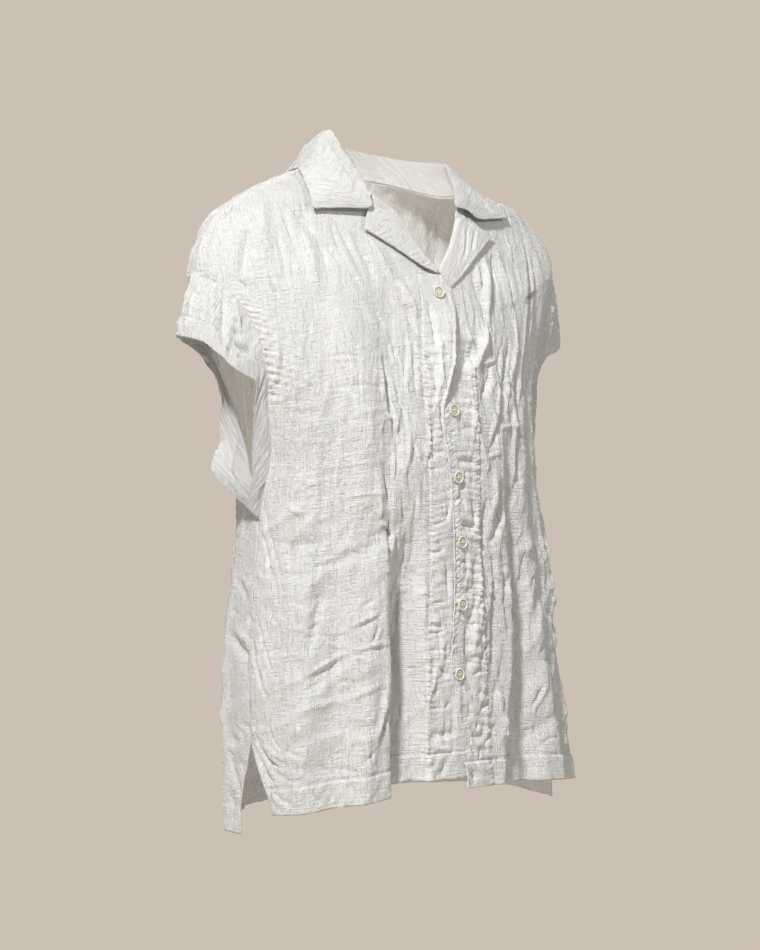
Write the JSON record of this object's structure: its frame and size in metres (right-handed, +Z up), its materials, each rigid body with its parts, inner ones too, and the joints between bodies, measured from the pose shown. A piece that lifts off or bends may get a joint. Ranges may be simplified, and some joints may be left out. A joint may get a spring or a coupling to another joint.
{
  "type": "short-sleeved linen shirt, worn",
  "caption": "Loose women's linen camp shirt in its worn form: notched open collar, buttoned front, short drop-shoulder sleeves, side vents and a longer back.",
  "frame": {"origin": "midway between the points where the shoulder seams meet the neckline, where the wearer's shoulders hold the shirt", "axes": "+Z up from the hem to the shoulders, -Y to the shirt's front, +X to the wearer's left"},
  "size_m": [0.5454, 0.2549, 0.7466],
  "materials": {
    "linen": "white crumpled linen gauze, matt",
    "button": "cream, satin"
  },
  "bodies": {
    "root": {"front_right": "linen", "front_left": "linen", "placket_right": "linen", "placket_left": "linen", "lapel_right": "linen", "lapel_left": "linen", "back": "linen", "sleeve_right": "linen", "sleeve_left": "linen", "collar": "linen", "button_1": "button", "button_2": "button", "button_3": "button", "button_4": "button", "button_5": "button", "button_6": "button", "button_7": "button"}
  },
  "joints": []
}
